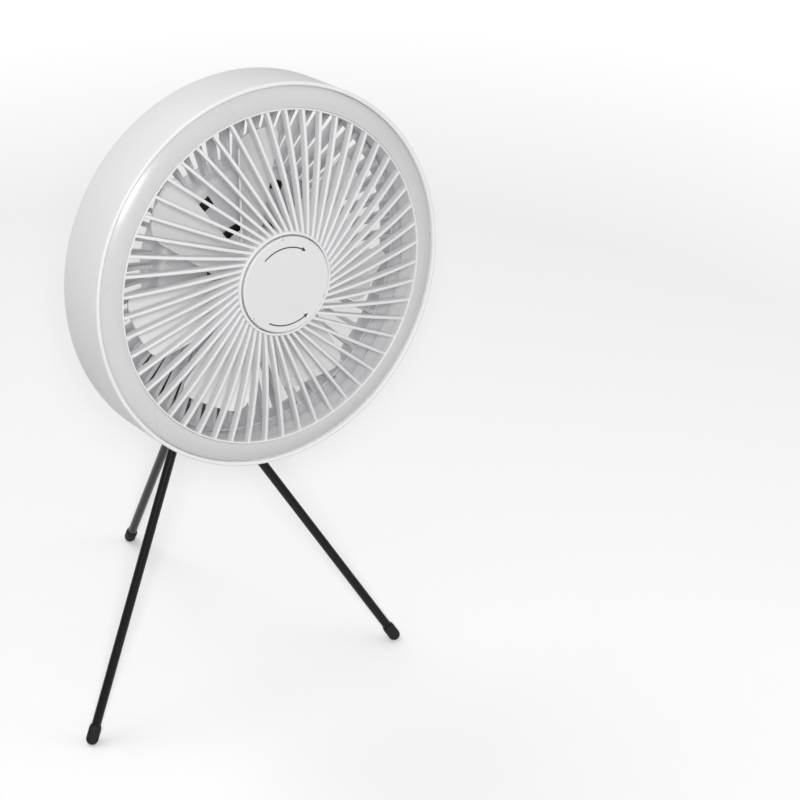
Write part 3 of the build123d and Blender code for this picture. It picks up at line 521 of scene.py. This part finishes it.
def makeDrum():
    mesh = bmesh.new()
    bore = drum["radius"] - drum["wall"]
    shelfFront = drum["skirtBack"] + drum["shelf"]
    outline = [
        (drum["radius"], drum["back"]),
        (drum["radius"], drum["lip"]),
        (bore, drum["lip"]),
        (bore, drum["floorFront"]),
        (drum["ductOutside"], drum["floorFront"]),
        (drum["ductOutside"], shelfFront),
        (drum["skirtOutside"], shelfFront),
        (drum["skirtOutside"], drum["skirtFront"]),
        (drum["skirtBore"], drum["skirtFront"]),
        (drum["skirtBore"], drum["skirtBack"]),
        (drum["ductBore"], drum["skirtBack"]),
        (drum["ductBore"], drum["floorBack"]),
        (drum["rabbet"], drum["floorBack"]),
        (drum["rabbet"], drum["back"]),
    ]
    turnInto(mesh, roundedOutline(outline, drum["rounds"]), drum["turns"])
    addPiece("drumMoulding", finished(mesh, "drumMoulding"), "whiteShell", "head", "shell", "housing_drum")


makeDrum()

# ring light diffuser: a shell with a crowned front that rises towards the grille
ringLight = {
    "outer": 103.0,
    "inner": 92.1,
    "outerRise": 0.2,
    "innerRise": 4.0,
    "bulge": 1.1,
    "back": -7.4,
    "wall": 1.6,
    "steps": 18,
    "insideStride": 3,  # the inside follows every third point of the front
    "turns": 192,
}


def makeDiffuser():
    mesh = bmesh.new()
    front = []
    for step in range(ringLight["steps"] + 1):
        share = step / ringLight["steps"]
        r = between(ringLight["outer"], ringLight["inner"], share)
        z = between(ringLight["outerRise"], ringLight["innerRise"], share)
        front.append((r, z + 4 * ringLight["bulge"] * share * (1 - share)))
    wall, back = ringLight["wall"], ringLight["back"]
    innerSide, outerSide = ringLight["inner"] + wall, ringLight["outer"] - wall
    outline = [(ringLight["outer"], back), *front, (ringLight["inner"], back), (innerSide, back)]
    inside = front[::-ringLight["insideStride"]]
    outline += [(min(max(r, innerSide), outerSide), z - wall) for r, z in inside]
    outline.append((outerSide, back))
    turnInto(mesh, outline, ringLight["turns"])
    ring = finished(mesh, "milkyDiffuser")
    addPiece("milkyDiffuser", ring, "milkyRing", "head", "diffuser", "light_diffuser")


makeDiffuser()
print("drum and ring light made")

# rear cover: upright fins between a rim in the drum and the front wall of the pod
rearCover = {
    "podRadius": 54.0,
    "podWall": 2.2,
    "podFront": -25.0,
    "podShoulder": 3.6,
    "podTurns": 128,
    "back": -35.0,
    "ringFront": -32.8,
    "ringRadius": 99.7,
    "rimRadius": 95.1,
    "rimBore": 93.6,
    "rimFront": -24.5,
    "rimRounds": {0: 0.5, 1: 0.5, 2: 0.4},
    "rimTurns": 192,
    "fins": 52,
    "finPhase": 0.83,
    "finWidth": 2.2,
    "finFront": (-33.0, -25.0),  # at the pod and at the rim
    "finBack": (-38.6, -34.6),
    "finSunk": (0.9, 0.7),  # how far it reaches into the pod and into the rim
    "finGap": 0.3,
    "windows": (28.7, -28.7),  # turns of the openings for the posts of the bail
    "windowAt": 45.4,
    "windowSize": (9.2, 5.6),
}


def makeFin(mesh, turn):
    podSunk, rimSunk = rearCover["finSunk"]
    root, tip = rearCover["podRadius"] - podSunk, rearCover["rimBore"] + rimSunk
    clear = rearCover["podRadius"] + rearCover["finGap"]
    frontRoot, frontTip = rearCover["finFront"]
    backRoot, backTip = rearCover["finBack"]
    side = [
        (root, frontRoot),
        (tip, frontTip),
        (tip, backTip),
        (clear, backRoot),
        (clear, rearCover["back"]),
        (root, rearCover["back"]),
    ]
    half = rearCover["finWidth"] / 2
    spun = turnedHead(turn)
    skinRings(mesh, [[spun @ Vector((r, across, z)) for r, z in side] for across in (-half, half)])


def makeWindowCutter():
    mesh = bmesh.new()
    width, height = rearCover["windowSize"]
    middle = rearCover["podFront"] - rearCover["podWall"] / 2
    place = Matrix.Translation((0, rearCover["windowAt"], middle))
    size = Matrix.Diagonal((width, height, 3 * rearCover["podWall"], 1))
    for turn in rearCover["windows"]:
        bmesh.ops.create_cube(mesh, size=1.0, matrix=turnedHead(radians(turn)) @ place @ size)
    cutter = bpy.data.objects.new("windowCutter", finished(mesh, "windowCutter"))
    bpy.context.collection.objects.link(cutter)
    return cutter


def cutWindows(piece):
    cutter = makeWindowCutter()
    boolean = piece.modifiers.new("windows", "BOOLEAN")
    boolean.object = cutter
    boolean.operation = "DIFFERENCE"
    boolean.solver = "EXACT"
    shape = piece.evaluated_get(bpy.context.evaluated_depsgraph_get())
    cut = bpy.data.meshes.new_from_object(shape)
    piece.modifiers.remove(boolean)
    piece.data = cut
    bpy.data.objects.remove(cutter)


def makePodFront():
    mesh = bmesh.new()
    radius, wall = rearCover["podRadius"], rearCover["podWall"]
    dome = [
        (0, rearCover["podFront"]),
        (radius, rearCover["podFront"]),
        (radius, rearCover["back"]),
        (radius - wall, rearCover["back"]),
        (radius - wall, rearCover["podFront"] - wall),
        (0, rearCover["podFront"] - wall),
    ]
    rounds = {1: rearCover["podShoulder"], 4: rearCover["podShoulder"] - wall / 2}
    turnInto(mesh, roundedOutline(dome, rounds), rearCover["podTurns"])
    # the pod front, rim and fins take the darkened white, which is painted shade for the depth of the drum
    return addPiece("finnedCover", finished(mesh, "finnedCover"), "rearPaintedShade", "head", "shell", "rear_cover")


# the rim and the fins grow onto the pod's front once its windows are cut
def growRimAndFins(piece):
    mesh = bmesh.new()
    mesh.from_mesh(piece.data)
    rim = [
        (rearCover["rimBore"], rearCover["rimFront"]),
        (rearCover["rimRadius"], rearCover["rimFront"]),
        (rearCover["rimRadius"], rearCover["ringFront"]),
        (rearCover["ringRadius"], rearCover["ringFront"]),
        (rearCover["ringRadius"], rearCover["back"]),
        (rearCover["rimBore"], rearCover["back"]),
    ]
    turnInto(mesh, roundedOutline(rim, rearCover["rimRounds"]), rearCover["rimTurns"])
    for i in range(rearCover["fins"]):
        makeFin(mesh, radians(rearCover["finPhase"]) + 2 * pi * i / rearCover["fins"])
    bmesh.ops.recalc_face_normals(mesh, faces=mesh.faces)
    mesh.to_mesh(piece.data)
    mesh.free()
    smoothSides(piece.data)


finnedCover = makePodFront()
cutWindows(finnedCover)
growRimAndFins(finnedCover)
print("rear cover made")

# front grille: outer ring, cup of the scent box, and the swirled ribs between them
grille = {
    "outside": 92.0,
    "inside": 90.8,
    "ringBack": -2.0,
    "ringFront": 4.4,
    "ringRounds": {2: 0.8, 3: 0.9},
    "ringTurns": 192,
    "ribs": 52,
    "ribWidth": 1.8,
    "ribBackWidth": 1.25,
    "ribCorner": 0.6,
    "cornerSteps": 4,
    "ribSunk": 0.3,  # how far it reaches into the cup
    "swirl": 20.5,
    "phase": 3.7,
    "outerFront": 3.8,
    "outerDepth": 4.5,
    "innerFront": 12.4,
    "innerDepth": 5.2,
    "bulge": 1.6,
    "stations": 20,
    "cupRadius": 28.6,
    "cupBore": 27.0,
    "cupFront": 13.4,
    "cupBack": 5.0,
    "cupFloor": 6.6,
    "cupRounds": {1: 1.0, 2: 0.9, 3: 0.5},
    "cupTurns": 128,
    "crease": 50,
}


# section of a rib: across it and down from its front, with rounded front corners and a narrower back
def ribSection(depth):
    half, backHalf, corner = grille["ribWidth"] / 2, grille["ribBackWidth"] / 2, grille["ribCorner"]
    turns = [pi / 2 * k / grille["cornerSteps"] for k in range(grille["cornerSteps"] + 1)]
    arc = [(corner - corner * cos(turn), corner - corner * sin(turn)) for turn in turns]
    left = [(-half + x, z) for x, z in arc]
    right = [(-x, z) for x, z in left[::-1]]
    return [(-backHalf, depth), *left, *right, (backHalf, depth)]


# sections of one rib from the cup to the ring
def ribRings(turn):
    swirl = radians(grille["swirl"])
    inner, outer = grille["cupRadius"] - grille["ribSunk"], (grille["inside"] + grille["outside"]) / 2
    start = Vector((inner * cos(swirl), -inner * sin(swirl), 0))
    end = Vector((outer, 0, 0))
    across = Vector((0, 0, 1)).cross((end - start).normalized())
    spun = turnedHead(turn)
    rings = []
    for station in range(grille["stations"] + 1):
        share = station / grille["stations"]
        front = between(grille["innerFront"], grille["outerFront"], share)
        front += 4 * grille["bulge"] * share * (1 - share)
        section = ribSection(between(grille["innerDepth"], grille["outerDepth"], share))
        centre = between(start, end, share)
        rings.append([spun @ (centre + across * x + Vector((0, 0, front - z))) for x, z in section])
    return rings


def makeGrille():
    mesh = bmesh.new()
    ring = [
        (grille["inside"], grille["ringBack"]),
        (grille["outside"], grille["ringBack"]),
        (grille["outside"], grille["ringFront"]),
        (grille["inside"], grille["ringFront"]),
    ]
    turnInto(mesh, roundedOutline(ring, grille["ringRounds"]), grille["ringTurns"])
    cup = [
        (0, grille["cupBack"]),
        (grille["cupRadius"], grille["cupBack"]),
        (grille["cupRadius"], grille["cupFront"]),
        (grille["cupBore"], grille["cupFront"]),
        (grille["cupBore"], grille["cupFloor"]),
        (0, grille["cupFloor"]),
    ]
    turnInto(mesh, roundedOutline(cup, grille["cupRounds"]), grille["cupTurns"])
    for i in range(grille["ribs"]):
        skinRings(mesh, ribRings(radians(grille["phase"]) + 2 * pi * i / grille["ribs"]))
    ribbed = finished(mesh, "swirlGrille")
    addPiece("swirlGrille", ribbed, "whiteGrille", "head", "shell", "front_grille")
    smoothSides(ribbed, grille["crease"])


makeGrille()
print("front grille made")

# two curved arrows printed on the lid, which show how it twists
arrows = {
    "lidFront": 14.6,
    "inkRise": 0.02,
    "width": 0.7,
    "headLength": 2.6,
    "headWidth": 2.4,
    "steps": 28,
    # radius, where it starts, where its head points to and which way it runs
    "marks": ((20.5, 125.2, 49.1, -1), (22.3, -126.0, -60.0, 1)),
}


def onLid(mesh, radius, angle):
    spot = Vector((radius * cos(angle), radius * sin(angle), arrows["lidFront"] + arrows["inkRise"]))
    return mesh.verts.new(headFrame @ spot)


def makeTwistMarks():
    mesh = bmesh.new()
    half, spread = arrows["width"] / 2, arrows["headWidth"] / 2
    for radius, start, end, way in arrows["marks"]:
        neck = radians(end) - way * arrows["headLength"] / radius
        rows = []
        for step in range(arrows["steps"] + 1):
            angle = between(radians(start), neck, step / arrows["steps"])
            rows.append([onLid(mesh, radius - half, angle), onLid(mesh, radius + half, angle)])
        for here, there in zip(rows, rows[1:]):
            mesh.faces.new((here[0], here[1], there[1], there[0]))
        base = [onLid(mesh, radius - spread, neck), onLid(mesh, radius + spread, neck)]
        mesh.faces.new((*base, onLid(mesh, radius, radians(end))))
    addPiece("twistMarks", finished(mesh, "twistMarks"), "darkInk", "scent_cap", "black_plastic")


makeTwistMarks()

# impeller: seven cambered paddles on a cup-shaped hub
impeller = {
    "blades": 7,
    "phase": -5.5,
    "rootRadius": 21.7,
    "tipRadius": 77.5,
    "rootWidth": 18.0,
    "tipWidth": 34.8,
    "lag": 5.8,
    "corner": 7.0,
    "rootPitch": 30.0,
    "tipPitch": 24.0,
    "camber": 0.09,
    "spare": 4.0,
    "thickness": 1.6,
    "edgeThickness": 1.1,
    "middle": -10.0,
    "rows": 30,
    "rowCrowding": 1.8,  # above 1, the rows stand closer near the tip
    "columns": 16,
    "hubRadius": 22.6,
    "hubCorner": 5.0,
    "hubFront": 1.6,
    "hubBack": -21.0,
    "hubWall": 1.8,
    "hubRoof": -5.65,
    "hubRounds": {1: 3.0, 2: 3.0},
    "hubTurns": 96,
    "shaftBore": 1.55,
    "softEdge": 0.4,
    "softEdgeFrom": 60,
}


# a point of the blade: x across it, y along the radius, side is 1 in front and -1 behind
def bladePoint(x, y, side):
    share = (y - impeller["hubRadius"]) / (impeller["tipRadius"] - impeller["hubRadius"])
    pitch = radians(between(impeller["rootPitch"], impeller["tipPitch"], share))
    width = between(impeller["rootWidth"], impeller["tipWidth"], share)
    chord = (width + impeller["spare"]) / cos(pitch)
    middle = -impeller["lag"] * (1 - share)
    along = (x - middle) / cos(pitch)
    # the camber moves the point across, so its place along the chord is found in a few passes
    for _ in range(3):
        arch = 1 - (2 * along / chord) ** 2
        height = impeller["camber"] * chord * arch
        along = (x - middle) / cos(pitch) + height * tan(pitch)
    thick = between(impeller["edgeThickness"], impeller["thickness"], max(arch, 0))
    lifted = height - side * thick / 2
    z = impeller["middle"] - along * sin(pitch) - lifted * cos(pitch)
    return Vector((middle + along * cos(pitch) - lifted * sin(pitch), y, z))


# rows from the hub to the tip, each from one edge of the blade to the other
def bladeGrid():
    root, tip, corner = impeller["rootRadius"], impeller["tipRadius"], impeller["corner"]
    grid = []
    for row in range(impeller["rows"] + 1):
        share = 1 - (1 - row / impeller["rows"]) ** impeller["rowCrowding"]
        width = between(impeller["rootWidth"], impeller["tipWidth"], share)
        over = max(corner - (1 - share) * (tip - root), 0)
        inset = (corner - sqrt(corner**2 - over**2)) / width
        line = []
        for column in range(impeller["columns"] + 1):
            across = inset + (1 - 2 * inset) * column / impeller["columns"] - 0.5
            xRoot = across * impeller["rootWidth"] - impeller["lag"]
            xTip = across * impeller["tipWidth"]
            foot = Vector((xRoot, sqrt(root**2 - xRoot**2)))
            line.append(foot.lerp(Vector((xTip, sqrt(tip**2 - xTip**2))), share))
        grid.append(line)
    return grid


def makeBlade(mesh, grid, turn):
    spun = turnedHead(turn)
    sides = {}
    for side in (1, -1):
        rows = [[mesh.verts.new(spun @ bladePoint(x, y, side)) for x, y in line] for line in grid]
        for here, there in zip(rows, rows[1:]):
            for j in range(len(here) - 1):
                face = (here[j], here[j + 1], there[j + 1], there[j])
                mesh.faces.new(face if side > 0 else face[::-1])
        sides[side] = rows
    front, back = sides[1], sides[-1]
    rim = [(row, 0) for row in range(len(grid))]
    rim += [(len(grid) - 1, column) for column in range(1, len(grid[0]))]
    rim += [(row, len(grid[0]) - 1) for row in range(len(grid) - 2, -1, -1)]
    for (a, b), (c, d) in zip(rim, rim[1:]):
        mesh.faces.new((front[a][b], front[c][d], back[c][d], back[a][b]))


def makeImpeller():
    mesh = bmesh.new()
    radius, front = impeller["hubRadius"], impeller["hubFront"]
    bore = radius - impeller["hubWall"]
    hub = [
        (impeller["shaftBore"], front),
        (radius - impeller["hubCorner"], front),
        (radius, front - impeller["hubCorner"]),
        (radius, impeller["hubBack"]),
        (bore, impeller["hubBack"]),
        (bore, impeller["hubRoof"]),
        (impeller["shaftBore"], impeller["hubRoof"]),
    ]
    turnInto(mesh, roundedOutline(hub, impeller["hubRounds"]), impeller["hubTurns"])
    grid = bladeGrid()
    for i in range(impeller["blades"]):
        makeBlade(mesh, grid, radians(impeller["phase"]) + 2 * pi * i / impeller["blades"])
    paddles = finished(mesh, "paddleImpeller")
    piece = addPiece("paddleImpeller", paddles, "whiteBlades", "impeller", "blades", "impeller")
    rounding = piece.modifiers.new("soft edges", "BEVEL")
    rounding.width = impeller["softEdge"] * mm
    rounding.segments = 3
    rounding.limit_method = "ANGLE"
    rounding.angle_limit = radians(impeller["softEdgeFrom"])


makeImpeller()
print("impeller made")

# finishes of the pieces that come from the frame as they are
finishes = {
    "whiteLid": ["scent_cap"],
    # the pod cover takes the rear cover's darkened white, which is painted shade
    "rearPaintedShade": ["pod_cover"],
    "greyButton": ["fan_button", "light_button"],
    "blackMoulded": ["bail_posts", "hang_bail", "leg_knuckle_rear", "leg_knuckle_left", "leg_knuckle_right"],
    "blackGloss": ["leg_rod_rear", "leg_rod_left", "leg_rod_right"],
    "blackCast": ["crown", "neck_arm", "motor_mount"],
    "softRubber": ["foot_cap_rear", "foot_cap_left", "foot_cap_right", "swivel_washer"],
    "blackSteel": ["leg_pins", "bail_pins", "tilt_bolt", "tilt_nut", "swivel_screw"],
    "zincSteel": ["rear_cover_screws", "pod_screws", "motor_screws", "impeller_screw", "charge_socket"],
    "turnedSteel": ["motor_shaft", "motor_rotor", "shaft_bearings"],
    "greyMagnet": ["motor_magnets"],
    "copperWinding": ["motor_stator"],
    "paleBoard": ["led_board"],
    "yellowChip": ["led_chips"],
    "greenBoard": ["control_board"],
    "blackInner": ["board_posts", "button_switches", "battery_tray"],
    "clearLens": ["charge_lenses"],
    "blueSleeve": ["battery_cells"],
    "paleFelt": ["scent_pad"],
}
for look, names in finishes.items():
    for name in names:
        nodes[name].data.materials.clear()
        nodes[name].data.materials.append(looks[look])
print("frame pieces finished")
